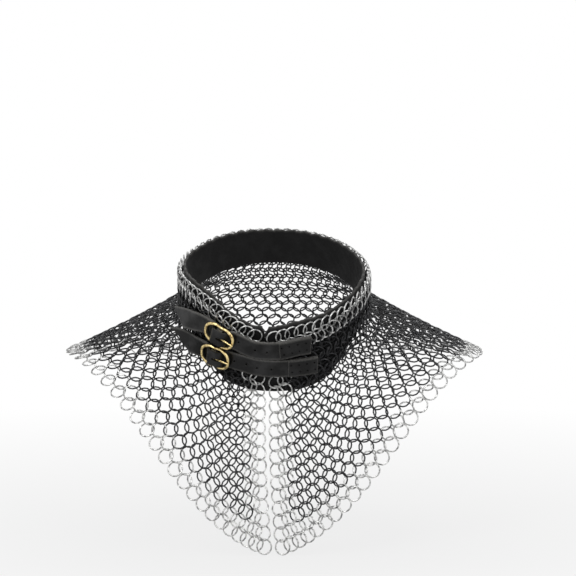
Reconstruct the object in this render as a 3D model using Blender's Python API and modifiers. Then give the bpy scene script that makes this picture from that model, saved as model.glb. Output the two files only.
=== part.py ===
"""Mail collar: a standing neck band and a short mantle of linked rings, a leather
neck liner, and two front straps with centre-bar buckles.

Metres, +Z up, the front of the neck faces -Y. The origin is the middle of the neck
opening at the level where the front of the standing band meets the mantle. Right
means +X, seen from the front.
"""
import bmesh
import bpy
from math import cos, exp, pi, radians, sin
from mathutils import Matrix, Vector

MM = 0.001

# Neck band: a tilted cylinder, taller at the front
BAND_RADIUS = 76.0 * MM
BAND_TILT = radians(26)
BAND_EDGE_FORWARD = 95.5 * MM
BAND_EDGE_LEVEL = 15.7 * MM
BAND_BACK_HEIGHT = 25.0 * MM
BAND_FRONT_EXTRA = 33.0 * MM
BAND_FRONT_ANGLE = radians(52)

# How far the neck edge stands above the band's plane, by angle from the front
EDGE_RISES = (
    (radians(-180), 6.0 * MM),
    (radians(-120), 10.0 * MM),
    (radians(-85), 18.0 * MM),
    (radians(-63), 22.0 * MM),
    (radians(-50), 22.5 * MM),
    (radians(-39), 19.5 * MM),
    (radians(-28), 11.5 * MM),
    (radians(-20), 6.5 * MM),
    (radians(-10), 2.2 * MM),
    (radians(0), 2.5 * MM),
    (radians(12), 6.0 * MM),
    (radians(30), 7.5 * MM),
    (radians(50), 11.0 * MM),
    (radians(73), 13.5 * MM),
    (radians(90), 11.0 * MM),
    (radians(120), 8.0 * MM),
    (radians(180), 6.0 * MM),
)

# Hem of the mantle, seen from above as two half ellipses
HEM_HALF_WIDTH = 169.0 * MM
HEM_CENTRE_BACK = 10.0 * MM
HEM_FRONT_REACH = 116.0 * MM
HEM_BACK_REACH = 108.0 * MM
HEM_SHOULDER_DROP = 8.4 * MM
HEM_BACK_FALL = 19.6 * MM
HEM_FRONT_FALL = 145.0 * MM
HEM_POINT_FALL = 6.0 * MM
HEM_POINT_ANGLE = radians(6)

# Drape between the neck and the hem
CHEST_BULGE = 6.0 * MM
BACK_PULL_SHARE = 0.40
SIDE_PULL_SHARE = 0.22
SIDE_PULL_ANGLE = radians(68)
SIDE_PULL_SPREAD = radians(26)
CREASE_SMOOTHING = 15

# Rows of rings, counted from the neck to the hem
ROWS = 18
EDGE_ROWS = 2

# Front slit
SLIT_GAP = 2.4 * MM
SLIT_SWING = radians(-6)
SLIT_STRIP = 12.4 * MM

# Rings of the hem, each linked through two of the row above
RING_MIDDLE = 5.95 * MM
RING_WIRE = 1.3 * MM
RING_LEAN = radians(17)
RING_BITE = 0.35 * MM
RING_PITCH = 7.2 * MM
RING_START = 7.7 * MM
RING_RUN_IN = 7
RING_SIDES = 6
WIRE_SIDES = 3
HEM_ROW_RINGS = 78
SLIT_COLUMN_RINGS = 2
HANG_SHARES = (1.7, 1.55, 1.4, 1.25, 1.1, 0.95)
SHIFT_SHARES = (0, -0.2, 0.2, -0.4, 0.4, -0.6, 0.6, -0.8, 0.8)

# Mail seen as a fabric
MAIL_THICKNESS = 3.6 * MM
JOIN_GAP = 0.3 * MM
SECTOR_GAP = 0.8 * MM
ROW_GAP = 0.5 * MM
CREASE_GAP = 1.4 * MM

# Leather
LINER_THICKNESS = 2.0 * MM
LINER_RISE = 3.0 * MM
LINER_HEM = 3.0 * MM
LINER_NOTCH_WIDTH = 7.0 * MM
LINER_NOTCH_DEPTH = 14.0 * MM
LINER_SLIT = 2.0 * MM
LINER_SLIT_SHARE = 0.1
LINER_SIDES = 60
STRAP_WIDTH = 14.2 * MM
STRAP_THICKNESS = 1.8 * MM
CHAPE_WIDTH = 13.2 * MM
CHAPE_THICKNESS = 1.1 * MM
CHAPE_LENGTH = 17.0 * MM
CHAPE_FOLD = 2.6 * MM
CHAPE_PINCH_SHARE = 1.65
CHAPE_LOOP_FROM = radians(-62)
CHAPE_LOOP_TO = radians(136)
CHAPE_SLOT = 4.4 * MM

# Buckles
BUCKLE_LENGTH = 28.0 * MM
BUCKLE_HEIGHT = 21.8 * MM
BUCKLE_WIRE = 2.5 * MM
BUCKLE_WAIST_SHARE = 0.06
BUCKLE_ROUNDING = 0.66
BAR_WIRE = 2.0 * MM
BAR_STAND = 4.9 * MM
HUMP_REACH = 9.0 * MM
LIFT_SHARE = 0.6
LEAVE_SHARE = 1.1
TONGUE_WIRE = 1.6 * MM
TONGUE_ROOM = 0.3 * MM
TONGUE_TURN_START = radians(-40)
TONGUE_TURN = radians(-230)
BUCKLE_WAIST_SPREAD = 0.14

# Places on the band: angle from the front, drop from its top edge
UPPER_BUCKLE_ANGLE = radians(-31.7)
LOWER_BUCKLE_ANGLE = radians(-34.7)
UPPER_STRAP_DROP = 14.0 * MM
UPPER_STRAP_CLIMB = 11.2 * MM
LOWER_STRAP_DROP = 28.9 * MM
LOWER_STRAP_CLIMB = 1.5 * MM
CLIMB_START = radians(-8.3)
CLIMB_END = radians(-41.6)
UPPER_END_CLIMB = 4.5 * MM
LOWER_END_CLIMB = 0.4 * MM
END_CLIMB_START = radians(5)
END_CLIMB_SPAN = radians(17)
UPPER_STRAP_END = radians(21.3)
LOWER_STRAP_END = radians(25.4)
UPPER_TAIL_LEAVES = radians(-54)
LOWER_TAIL_LEAVES = radians(-43)
STRAP_TAIL_END = radians(-72.8)
UPPER_TAIL_SLANT = 11.0 * MM
LOWER_TAIL_SLANT = 24.0 * MM
UPPER_TAIL_RISE = 0.5 * MM
LOWER_TAIL_RISE = 5.0 * MM
HOLE_WIDTH = 1.8 * MM
HOLE_PITCH = 9.0 * MM
HOLE_COUNT = 3
HOLE_START_SHARE = 0.6
TONGUE_SLOT_LENGTH = 10.6 * MM
TONGUE_SLOT_SHARE = 0.19
TONGUE_SLOT_WIDTH = 2.8 * MM
OVERRUN = 4.0 * MM

BAND_AXIS = Vector((0, -sin(BAND_TILT), cos(BAND_TILT)))
BAND_RIGHT = Vector((1, 0, 0))
BAND_FRONT = Vector((0, -cos(BAND_TILT), -sin(BAND_TILT)))
BAND_TOP = Vector((0, -BAND_EDGE_FORWARD, BAND_EDGE_LEVEL)) - BAND_FRONT * BAND_RADIUS
MAIL_OUTSIDE = BAND_RADIUS + MAIL_THICKNESS / 2
LINER_RADIUS = BAND_RADIUS - MAIL_THICKNESS / 2 - JOIN_GAP - LINER_THICKNESS / 2
BAR_RADIUS = MAIL_OUTSIDE + BAR_STAND
SLIT_CLEAR = SLIT_GAP / 2 + SLIT_STRIP
LAST_ROW_SHARE = (ROWS - 0.5) / ROWS
LINKED_ROW_SHARE = (ROWS - 1.5) / ROWS
RING_CORNER = RING_MIDDLE / cos(pi / RING_SIDES) ** 0.5

MERIDIAN_STEPS = 36
BAND_STEPS = 12
DRAPE_STEPS = 24
SMALL_TURN = radians(0.5)
MERIDIANS = {}


# Fabric

def outward(angle):
    return BAND_RIGHT * sin(angle) + BAND_FRONT * cos(angle)


def band_point(angle, drop, radius=BAND_RADIUS):
    return BAND_TOP - BAND_AXIS * drop + outward(angle) * radius


def band_height(angle):
    return BAND_BACK_HEIGHT + BAND_FRONT_EXTRA * exp(-(abs(angle) / BAND_FRONT_ANGLE) ** 4)


def eased(value):
    value = min(max(value, 0.0), 1.0)
    return value * value * (3 - 2 * value)


def edge_rise(angle):
    for (before, low), (after, high) in zip(EDGE_RISES, EDGE_RISES[1:]):
        if angle <= after:
            break
    return low + (high - low) * (angle - before) / (after - before)


def hem_point(angle):
    turn = abs(angle)
    if turn <= pi / 2:
        reach = HEM_FRONT_REACH
        fall = HEM_FRONT_FALL * cos(turn) ** 4 + HEM_POINT_FALL * exp(-turn / HEM_POINT_ANGLE)
    else:
        reach = HEM_BACK_REACH
        fall = HEM_BACK_FALL * cos(turn) ** 2
    return Vector((
        HEM_HALF_WIDTH * sin(angle),
        HEM_CENTRE_BACK - reach * cos(turn),
        -HEM_SHOULDER_DROP - fall,
    ))


def spaced(line, steps):
    """The same line cut into equal lengths."""
    ends = [0.0]
    for before, after in zip(line, line[1:]):
        ends.append(ends[-1] + (after - before).length)
    result = []
    at = 0
    for step in range(steps + 1):
        goal = ends[-1] * step / steps
        while at < len(line) - 2 and ends[at + 1] < goal:
            at += 1
        share = (goal - ends[at]) / (ends[at + 1] - ends[at])
        result.append(line[at].lerp(line[at + 1], share))
    return result


def meridian(angle):
    """Evenly spaced points down the fabric at one angle, from the neck edge to the hem."""
    key = round(angle, 6)
    if key in MERIDIANS:
        return MERIDIANS[key]
    height = band_height(angle)
    crease = band_point(angle, height)
    hem = hem_point(angle)
    side = exp(-((abs(angle) - SIDE_PULL_ANGLE) / SIDE_PULL_SPREAD) ** 2)
    pull = (crease + hem) / 2
    pull.z = crease.z + (hem.z - crease.z) * (BACK_PULL_SHARE + SIDE_PULL_SHARE * side)
    pull.y -= CHEST_BULGE * max(0.0, cos(angle))
    rise = edge_rise(angle)
    line = [
        band_point(angle, (height + rise) * step / BAND_STEPS - rise)
        for step in range(BAND_STEPS)
    ]
    for step in range(DRAPE_STEPS + 1):
        t = step / DRAPE_STEPS
        line.append(crease * (1 - t) ** 2 + pull * 2 * t * (1 - t) + hem * t * t)
    line = spaced(line, 2 * MERIDIAN_STEPS)
    for _ in range(CREASE_SMOOTHING):
        inner = [
            (before + here * 2 + after) / 4
            for before, here, after in zip(line, line[1:], line[2:])
        ]
        line = [line[0]] + inner + [line[-1]]
    MERIDIANS[key] = spaced(line, MERIDIAN_STEPS)
    return MERIDIANS[key]


def meridian_length(angle):
    line = meridian(angle)
    return (line[1] - line[0]).length * (len(line) - 1)


def swung(angle, share):
    """The slit leans to one side towards the neck, and the fabric near it goes along."""
    return angle + SLIT_SWING * (1 - share) * max(0.0, cos(angle)) ** 4


def mail_point(angle, share):
    line = meridian(swung(angle, share))
    place = min(max(share, 0.0), 1.0) * (len(line) - 1)
    low = min(int(place), len(line) - 2)
    return line[low].lerp(line[low + 1], place - low)


def crease_share(angle):
    """The share of the fabric's length at which the neck band turns into the mantle."""
    share = 0.25
    for _ in range(4):
        at = swung(angle, share)
        share = (band_height(at) + edge_rise(at)) / meridian_length(at)
    return share


def slit_angle(share, distance):
    """The angle at which the fabric lies this far from the middle of the slit."""
    probe = radians(8)
    reach = mail_point(probe, share) - mail_point(0.0, share)
    return probe * distance / reach.x


# Blender

def clear_scene():
    for item in list(bpy.data.objects):
        bpy.data.objects.remove(item, do_unlink=True)


def make_material(name, colour, roughness, metallic):
    made = bpy.data.materials.new(name)
    made.use_nodes = True
    shader = made.node_tree.nodes["Principled BSDF"]
    shader.inputs["Base Color"].default_value = (*colour, 1.0)
    shader.inputs["Roughness"].default_value = roughness
    shader.inputs["Metallic"].default_value = metallic
    made.diffuse_color = (*colour, 1.0)
    return made


def place_object(name, mesh, material, collection):
    item = bpy.data.objects.new(name, mesh)
    collection.objects.link(item)
    if material is not None:
        mesh.materials.append(material)
    return item


def grid_object(name, lines, thickness, material, collection):
    """An open surface through lines of points, given its thickness half to each side."""
    mesh = bpy.data.meshes.new(name)
    shape = bmesh.new()
    rows = [[shape.verts.new(point) for point in line] for line in lines]
    for upper, lower in zip(rows, rows[1:]):
        for a, b, c, d in zip(upper, upper[1:], lower[1:], lower):
            shape.faces.new((a, d, c, b))
    shape.to_mesh(mesh)
    shape.free()
    item = place_object(name, mesh, material, collection)
    solid = item.modifiers.new("thickness", "SOLIDIFY")
    solid.thickness = thickness
    solid.offset = 0.0
    solid.use_even_offset = True
    return item


def tube_mesh(name, points, wire, closed, sides_level=1):
    """A wire along points as a mesh, with welded caps where it is open."""
    curve = bpy.data.curves.new(name, "CURVE")
    curve.dimensions = "3D"
    curve.bevel_depth = wire / 2
    curve.bevel_resolution = sides_level
    curve.use_fill_caps = not closed
    spline = curve.splines.new("POLY")
    spline.points.add(len(points) - 1)
    for slot, point in zip(spline.points, points):
        slot.co = (*point, 1.0)
    spline.use_cyclic_u = closed
    item = bpy.data.objects.new(name + "_path", curve)
    bpy.context.scene.collection.objects.link(item)
    graph = bpy.context.evaluated_depsgraph_get()
    mesh = bpy.data.meshes.new_from_object(item.evaluated_get(graph))
    bpy.data.objects.remove(item)
    bpy.data.curves.remove(curve)
    shape = bmesh.new()
    shape.from_mesh(mesh)
    bmesh.ops.remove_doubles(shape, verts=shape.verts, dist=0.01 * MM)
    bmesh.ops.recalc_face_normals(shape, faces=shape.faces)
    shape.to_mesh(mesh)
    shape.free()
    return mesh


def use_cutter(item, cutter, operation):
    cut = item.modifiers.new(cutter.name, "BOOLEAN")
    cut.operation = operation
    cut.object = cutter
    cut.solver = "EXACT"


def make_cutter(name, mesh, cutters):
    cutter = place_object(name, mesh, None, cutters)
    cutter.hide_render = True
    cutter.display_type = "WIRE"
    return cutter


# Mail

SECTORS = (
    ("front", radians(0), radians(32)),
    ("breast", radians(32), radians(64)),
    ("shoulder", radians(64), radians(98)),
    ("blade", radians(98), radians(139)),
    ("back", radians(139), radians(180)),
)
SECTOR_COLUMNS = 5
NECK_STEPS = 5
MANTLE_STEPS = 10


def mail_patch(name, side, near, far, upper, lower, gaps, rows, material, collection):
    """A sector of mail between two angles and two places down its length."""
    lines = []
    for row in range(rows + 1):
        line = []
        for column in range(SECTOR_COLUMNS + 1):
            across = column / SECTOR_COLUMNS
            angle = side * far
            share = 0.5
            for _ in range(3):
                start = side * near if near > 0 else slit_angle(share, side * SLIT_CLEAR)
                angle = start + (side * far - start) * across
                top, bottom = upper(angle), lower(angle)
                share = top + (bottom - top) * row / rows
            length = meridian_length(swung(angle, share))
            share += (gaps[0] * (rows - row) - gaps[1] * row) / rows / 2 / length
            radius = mail_point(angle, share).to_2d().length
            angle += side * SECTOR_GAP / 2 / radius * (1 - 2 * across)
            line.append(mail_point(angle, share))
        lines.append(line if side > 0 else line[::-1])
    return grid_object(name, lines, MAIL_THICKNESS, material, collection)




def edge_share(angle):
    return EDGE_ROWS / ROWS


def whole_share(angle):
    return 1.0


def hem_share(angle):
    """Where the black mail ends, clear of the hem's rings."""
    share = LINKED_ROW_SHARE
    across = mail_point(angle + SMALL_TURN, share) - mail_point(angle - SMALL_TURN, share)
    down = mail_point(angle, LAST_ROW_SHARE) - mail_point(angle, share)
    squareness = down.cross(across).length / down.length / across.length
    reach = RING_CORNER + RING_WIRE / 2 + JOIN_GAP
    return share - reach / squareness / meridian_length(angle)


def mail_sectors(black, collection):
    for side, side_name in ((1, "right"), (-1, "left")):
        for place, near, far in SECTORS:
            end = f"{side_name}_{place}"
            mail_patch(
                f"neck_mail_{end}", side, near, far, edge_share, crease_share,
                (ROW_GAP, CREASE_GAP), NECK_STEPS, black, collection,
            )
            mail_patch(
                f"mantle_mail_{end}", side, near, far, crease_share, hem_share,
                (CREASE_GAP, ROW_GAP), MANTLE_STEPS, black, collection,
            )


def row_angles():
    """Angles of the rings in the last row but one, closer together beside the slit."""
    steps = 2 * 60
    turns = [2 * pi * step / steps for step in range(steps + 1)]
    angles = [turn if turn <= pi else turn - 2 * pi for turn in turns]
    points = [mail_point(angle, LINKED_ROW_SHARE) for angle in angles]
    reach = [0.0]
    for before, after in zip(points, points[1:]):
        reach.append(reach[-1] + (after - before).length)
    last = HEM_ROW_RINGS - 1
    grown = [1 - exp(-(min(ring, last - 1 - ring) / RING_RUN_IN) ** 2) for ring in range(last)]
    spare = (reach[-1] - 2 * RING_START - RING_PITCH * last) / sum(grown)
    goals = [RING_START]
    for share in grown:
        goals.append(goals[-1] + RING_PITCH + spare * share)
    result = []
    at = 0
    for goal in goals:
        while at < steps - 1 and reach[at + 1] < goal:
            at += 1
        share = (goal - reach[at]) / (reach[at + 1] - reach[at])
        result.append(turns[at] + (turns[at + 1] - turns[at]) * share)
    return result


def ring_place(turn, share, lean):
    """A ring's own frame on the fabric, leaning round the line that runs down it."""
    angle = turn if turn <= pi else turn - 2 * pi
    step = radians(1)
    line = meridian(swung(angle, share))
    low = min(max(int(share * MERIDIAN_STEPS), 1), MERIDIAN_STEPS - 1)
    down = (line[low + 1] - line[low - 1]).normalized()
    across = mail_point(angle + step, share) - mail_point(angle - step, share)
    out = down.cross(across).normalized()
    side = out.cross(down)
    turned = Matrix.Rotation(lean, 3, down) @ Matrix((side, down, out)).transposed()
    return Matrix.Translation(mail_point(angle, share)) @ turned.to_4x4()


def ring_corners(place):
    """The middle line of a ring's wire."""
    turns = [2 * pi * step / RING_SIDES for step in range(RING_SIDES)]
    return [place @ Vector((RING_CORNER * cos(turn), RING_CORNER * sin(turn), 0)) for turn in turns]


def edge_gap(start, end, other_start, other_end):
    """The shortest way between two straight edges."""
    one = end - start
    other = other_end - other_start
    apart = start - other_start
    tilt = one.dot(other)
    spread = one.dot(one) * other.dot(other) - tilt * tilt
    share = (tilt * other.dot(apart) - one.dot(apart) * other.dot(other)) / spread if spread else 0
    share = min(max(share, 0), 1)
    match = (tilt * share + other.dot(apart)) / other.dot(other)
    if not 0 <= match <= 1:
        match = min(max(match, 0), 1)
        share = min(max((tilt * match - one.dot(apart)) / one.dot(one), 0), 1)
    return (start + one * share - other_start - other * match).length


def ring_gap(corners, others):
    """How near the middle lines of two rings come."""
    return min(
        edge_gap(start, end, other_start, other_end)
        for start, end in zip(corners, corners[1:] + corners[:1])
        for other_start, other_end in zip(others, others[1:] + others[:1])
    )


def is_linked(corners, frame):
    """Whether a ring passes once through another, given by its frame."""
    back = frame.inverted()
    points = [back @ corner for corner in corners]
    inside = 0
    for before, after in zip(points, points[1:] + points[:1]):
        if (before.z > 0) != (after.z > 0):
            cross = before.lerp(after, before.z / (before.z - after.z)).to_2d()
            turn = Vector((1, 0)).angle_signed(cross) % (2 * pi / RING_SIDES) - pi / RING_SIDES
            inside += cross.length * cos(turn) < RING_CORNER * cos(pi / RING_SIDES)
    return inside == 1


def misfit(place, frames, others):
    """How far a ring is from bearing on the rings it must be linked through."""
    corners = ring_corners(place)
    if not all(is_linked(corners, frame) for frame in frames):
        return RING_MIDDLE
    return max(abs(ring_gap(corners, other) - RING_WIRE + RING_BITE) for other in others)


def shifted(place, along, down, out):
    shift = place.to_3x3() @ Vector((along, down, out))
    return Matrix.Translation(shift) @ place


def hung_ring(turn, above):
    """A ring of the last row, moved until it bears on both rings it is linked through."""
    place = ring_place(turn, LAST_ROW_SHARE, RING_LEAN)
    place.translation = above[0].translation.lerp(above[1].translation, 0.5)
    others = [ring_corners(frame) for frame in above]
    starts = [
        shifted(place, RING_MIDDLE * along, RING_MIDDLE * down, 0)
        for down in HANG_SHARES for along in SHIFT_SHARES
    ]
    fits = [misfit(start, above, others) for start in starts]
    fit = min(fits)
    place = starts[fits.index(fit)]
    step = RING_WIRE / 4
    while fit > RING_WIRE / 20 and step > RING_WIRE / 40:
        before = fit
        for way in ((0, step, 0), (step, 0, 0), (0, 0, step), (0, -step, 0), (-step, 0, 0), (0, 0, -step)):
            trial = shifted(place, *way)
            found = misfit(trial, above, others)
            if found < fit:
                place, fit = trial, found
        if fit == before:
            step /= 2
    return place


def add_ring(shape, place):
    """One ring, its wire with few sides."""
    loops = []
    for step in range(RING_SIDES):
        turn = 2 * pi * step / RING_SIDES
        loop = []
        for side in range(WIRE_SIDES):
            around = 2 * pi * side / WIRE_SIDES
            reach = RING_CORNER + RING_WIRE / 2 * cos(around)
            rise = RING_WIRE / 2 * sin(around)
            loop.append(shape.verts.new(place @ Vector((reach * cos(turn), reach * sin(turn), rise))))
        loops.append(loop)
    for before, after in zip(loops, loops[1:] + loops[:1]):
        for side in range(WIRE_SIDES):
            other = (side + 1) % WIRE_SIDES
            shape.faces.new((before[side], after[side], after[other], before[other]))


def ring_row(name, places):
    mesh = bpy.data.meshes.new(name)
    shape = bmesh.new()
    for place in places:
        add_ring(shape, place)
    bmesh.ops.recalc_face_normals(shape, faces=shape.faces)
    shape.to_mesh(mesh)
    shape.free()
    return mesh


def hem_rings(material, collection, cutters):
    """The two bright rows round the hem as linked rings, joined where they bear."""
    turns = row_angles()[SLIT_COLUMN_RINGS:-SLIT_COLUMN_RINGS]
    upper = []
    for turn in turns:
        upper.append(ring_place(turn, LINKED_ROW_SHARE, -RING_LEAN))
    lower = [
        hung_ring((turn + after) / 2, places)
        for turn, after, places in zip(turns, turns[1:], zip(upper, upper[1:]))
    ]
    item = place_object("hem_rings", ring_row("hem_rings", upper), material, collection)
    last = make_cutter("hem_last_row", ring_row("hem_last_row", lower), cutters)
    use_cutter(item, last, "UNION")
    return item


def slit_strip(name, side, material, collection):
    """The bright columns beside the slit."""
    lines = []
    steps = 20
    for step in range(steps + 1):
        share = edge_share(0) + (whole_share(0) - edge_share(0)) * step / steps
        share += SECTOR_GAP / 2 / meridian_length(0) * (1 - 2 * step / steps)
        near = slit_angle(share, side * SLIT_GAP / 2)
        far = slit_angle(share, side * (SLIT_CLEAR - SECTOR_GAP / 2))
        line = [mail_point(near + (far - near) * column / 3, share) for column in range(4)]
        lines.append(line if side > 0 else line[::-1])
    return grid_object(name, lines, MAIL_THICKNESS, material, collection)


def top_edge_rings(material, collection):
    """The two bright rows round the neck edge."""
    lines = []
    steps = 60
    for row in range(3):
        share = edge_share(0) * row / 2
        length = meridian_length(0)
        share = min(share, edge_share(0) - SECTOR_GAP / 2 / length)
        near = slit_angle(share, SLIT_GAP / 2)
        far = 2 * pi - near
        line = []
        for step in range(steps + 1):
            angle = near + (far - near) * step / steps
            line.append(mail_point(angle if angle <= pi else angle - 2 * pi, share))
        lines.append(line)
    return grid_object("top_edge_rings", lines, MAIL_THICKNESS, material, collection)


# Leather

def neck_liner(material, collection):
    """A leather band inside the neck mail, open at the front with a notched top."""
    lines = []
    middle = swung(0.0, LINER_SLIT_SHARE)
    for row in range(4):
        line = []
        for step in range(LINER_SIDES + 1):
            turn = 2 * pi * step / LINER_SIDES
            spread = 1 - 2 * step / LINER_SIDES
            angle = middle + turn if turn <= pi else middle + turn - 2 * pi
            bottom = band_height(angle) - LINER_HEM
            top = -LINER_RISE - edge_rise(angle)
            drop = (top, LINER_NOTCH_DEPTH / 4, LINER_NOTCH_DEPTH, bottom)[row]
            drop = min(drop, top + (bottom - top) * (row + 1) / 4) if row else drop
            open_width = LINER_SLIT
            if drop < LINER_NOTCH_DEPTH:
                notch = (LINER_NOTCH_DEPTH - drop) / (LINER_NOTCH_DEPTH - top)
                open_width += (LINER_NOTCH_WIDTH - LINER_SLIT) * notch
            shift = open_width / 2 / LINER_RADIUS * spread
            line.append(band_point(middle + turn + shift, drop, LINER_RADIUS))
        lines.append(line)
    return grid_object("neck_liner", lines, LINER_THICKNESS, material, collection)


class StrapRun:
    """Where one strap and its buckle lie on the neck band."""

    def __init__(self, place, drop, climb, end_climb, right_end, buckle_angle, leaves, slant, rise):
        self.place = place
        self.drop = drop
        self.climb = climb
        self.end_climb = end_climb
        self.right_end = right_end
        self.buckle_angle = buckle_angle
        self.leaves = min(leaves, buckle_angle - LEAVE_SHARE * HUMP_REACH / BAR_RADIUS)
        self.slant = slant
        self.rise = rise


RUNS = (
    StrapRun(
        "upper", UPPER_STRAP_DROP, UPPER_STRAP_CLIMB, UPPER_END_CLIMB, UPPER_STRAP_END,
        UPPER_BUCKLE_ANGLE, UPPER_TAIL_LEAVES, UPPER_TAIL_SLANT, UPPER_TAIL_RISE,
    ),
    StrapRun(
        "lower", LOWER_STRAP_DROP, LOWER_STRAP_CLIMB, LOWER_END_CLIMB, LOWER_STRAP_END,
        LOWER_BUCKLE_ANGLE, LOWER_TAIL_LEAVES, LOWER_TAIL_SLANT, LOWER_TAIL_RISE,
    ),
)


def strap_drop(angle, run):
    """How far below the band's top edge a strap's middle line runs."""
    left = run.climb * eased((CLIMB_START - angle) / (CLIMB_START - CLIMB_END))
    right = run.end_climb * eased((angle - END_CLIMB_START) / END_CLIMB_SPAN)
    return run.drop - left - right


def strap_radius(angle, run):
    """A strap lies on the mail, dives under the buckle's sides and climbs over its bar."""
    along = (angle - run.buckle_angle) * BAR_RADIUS
    base = MAIL_OUTSIDE + JOIN_GAP + STRAP_THICKNESS / 2
    lift = (CHAPE_THICKNESS + 2 * JOIN_GAP) * eased(-along / (HUMP_REACH * LIFT_SHARE))
    top = BAR_RADIUS + BAR_WIRE / 2 + 2 * TONGUE_ROOM + TONGUE_WIRE + STRAP_THICKNESS / 2
    reach = HUMP_REACH
    if abs(along) < reach:
        return base + lift + (top - base - lift) * cos(pi * along / 2 / reach) ** 2
    return base + lift


def strap_point(angle, run):
    """A strap's middle line, which leaves the band straight where its tail begins."""
    if angle >= run.leaves:
        return band_point(angle, strap_drop(angle, run), strap_radius(angle, run))
    start = strap_point(run.leaves, run)
    radius = strap_radius(run.leaves, run)
    away = BAND_RIGHT * cos(run.leaves) - BAND_FRONT * sin(run.leaves)
    gone = (run.leaves - angle) / (run.leaves - STRAP_TAIL_END)
    return start - away * (run.leaves - angle) * radius + BAND_AXIS * run.rise * eased(gone)


def strap_frame(angle, run):
    """A strap's point, and its length, width and outward directions there."""
    before = strap_point(angle - SMALL_TURN, run)
    after = strap_point(angle + SMALL_TURN, run)
    along = (after - before).normalized()
    out = outward(max(angle, run.leaves))
    across = out.cross(along).normalized()
    return strap_point(angle, run), along, across, along.cross(across)


def strap_stations(run):
    """Angles down a strap from its right end, closer together over the buckle's bar."""
    hump = HUMP_REACH / BAR_RADIUS
    marks = (
        (run.right_end, 13),
        (run.buckle_angle + hump, 16),
        (run.buckle_angle - hump, 4),
        (run.leaves, 8),
        (STRAP_TAIL_END, 0),
    )
    stations = [run.right_end]
    for (start, count), (end, _) in zip(marks, marks[1:]):
        stations += [start + (end - start) * (step + 1) / count for step in range(count)]
    return stations


def strap(run, material, collection, cutters):
    name = f"{run.place}_strap"
    lines = [[], []]
    for angle in strap_stations(run):
        point, along, across, out = strap_frame(angle, run)
        tail = (run.leaves - angle) / (run.leaves - STRAP_TAIL_END)
        slant = run.slant * eased(tail)
        lines[0].append(point + across * STRAP_WIDTH / 2)
        lines[1].append(point - across * STRAP_WIDTH / 2 + along * slant)
    item = grid_object(name, [lines[1], lines[0]], STRAP_THICKNESS, material, collection)
    for number in range(HOLE_COUNT):
        away = BUCKLE_LENGTH / 2 + HOLE_PITCH * (number + HOLE_START_SHARE)
        angle = run.buckle_angle + away / BAR_RADIUS
        point, along, across, out = strap_frame(angle, run)
        place = Matrix((along, across, out)).transposed().to_4x4()
        place.translation = point
        shape = bmesh.new()
        bmesh.ops.create_cone(
            shape, segments=8, radius1=HOLE_WIDTH / 2, radius2=HOLE_WIDTH / 2,
            depth=OVERRUN, cap_ends=True, matrix=place,
        )
        mesh = bpy.data.meshes.new(f"{name}_hole_{number}")
        shape.to_mesh(mesh)
        shape.free()
        use_cutter(item, make_cutter(mesh.name, mesh, cutters), "DIFFERENCE")
    place = buckle_place(run)
    shape = bmesh.new()
    bmesh.ops.create_cube(shape, size=1.0)
    slot = Matrix.Translation((TONGUE_SLOT_LENGTH * TONGUE_SLOT_SHARE, 0, OVERRUN / 2))
    slot @= Matrix.Diagonal((TONGUE_SLOT_LENGTH, TONGUE_SLOT_WIDTH, 3 * OVERRUN, 1.0))
    bmesh.ops.transform(shape, matrix=place @ slot, verts=shape.verts)
    mesh = bpy.data.meshes.new(f"{name}_slot")
    shape.to_mesh(mesh)
    shape.free()
    use_cutter(item, make_cutter(mesh.name, mesh, cutters), "DIFFERENCE")
    return item


def chape(run, material, collection, cutters):
    """A folded leather tab that holds the buckle by its bar."""
    name = f"{run.place}_chape"
    place = buckle_place(run)
    loop = BAR_WIRE / 2 + TONGUE_ROOM + CHAPE_THICKNESS / 2
    flat = MAIL_OUTSIDE + 2 * JOIN_GAP + CHAPE_THICKNESS / 2
    pinch = -(CHAPE_FOLD + loop)
    side = []
    steps = 4
    for step in range(steps + 1):
        along = -CHAPE_LENGTH + (CHAPE_LENGTH + pinch) * step / steps
        side.append((along, (flat ** 2 - along ** 2) ** 0.5 - BAR_RADIUS))
    low = side[-1][1]
    bends = 8
    for bend in range(bends + 1):
        turn = CHAPE_LOOP_FROM + (CHAPE_LOOP_TO - CHAPE_LOOP_FROM) * bend / bends
        side.append((loop * cos(turn), loop * sin(turn)))
    side.append((pinch, low + CHAPE_THICKNESS * CHAPE_PINCH_SHARE))
    lines = [
        [place @ Vector((along, width, out)) for along, out in side]
        for width in (-CHAPE_WIDTH / 2, CHAPE_WIDTH / 2)
    ]
    item = grid_object(name, lines, CHAPE_THICKNESS, material, collection)
    shape = bmesh.new()
    bmesh.ops.create_cube(shape, size=1.0)
    reach = 2 * (BAR_WIRE / 2 + TONGUE_ROOM + TONGUE_WIRE + JOIN_GAP)
    slot = Matrix.Diagonal((reach, CHAPE_SLOT, reach, 1.0))
    bmesh.ops.transform(shape, matrix=place @ slot, verts=shape.verts)
    mesh = bpy.data.meshes.new(f"{name}_slot")
    shape.to_mesh(mesh)
    shape.free()
    use_cutter(item, make_cutter(mesh.name, mesh, cutters), "DIFFERENCE")
    return item


# Buckles

def buckle_place(run):
    """Buckle frame: X along the strap, Y across it, Z out, from the middle of the bar."""
    angle = run.buckle_angle
    centre = band_point(angle, strap_drop(angle, run), BAR_RADIUS)
    after = band_point(angle + SMALL_TURN, strap_drop(angle + SMALL_TURN, run), BAR_RADIUS)
    before = band_point(angle - SMALL_TURN, strap_drop(angle - SMALL_TURN, run), BAR_RADIUS)
    along = (after - before).normalized()
    across = outward(angle).cross(along).normalized()
    place = Matrix((along, across, along.cross(across))).transposed().to_4x4()
    place.translation = centre
    return place


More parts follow.
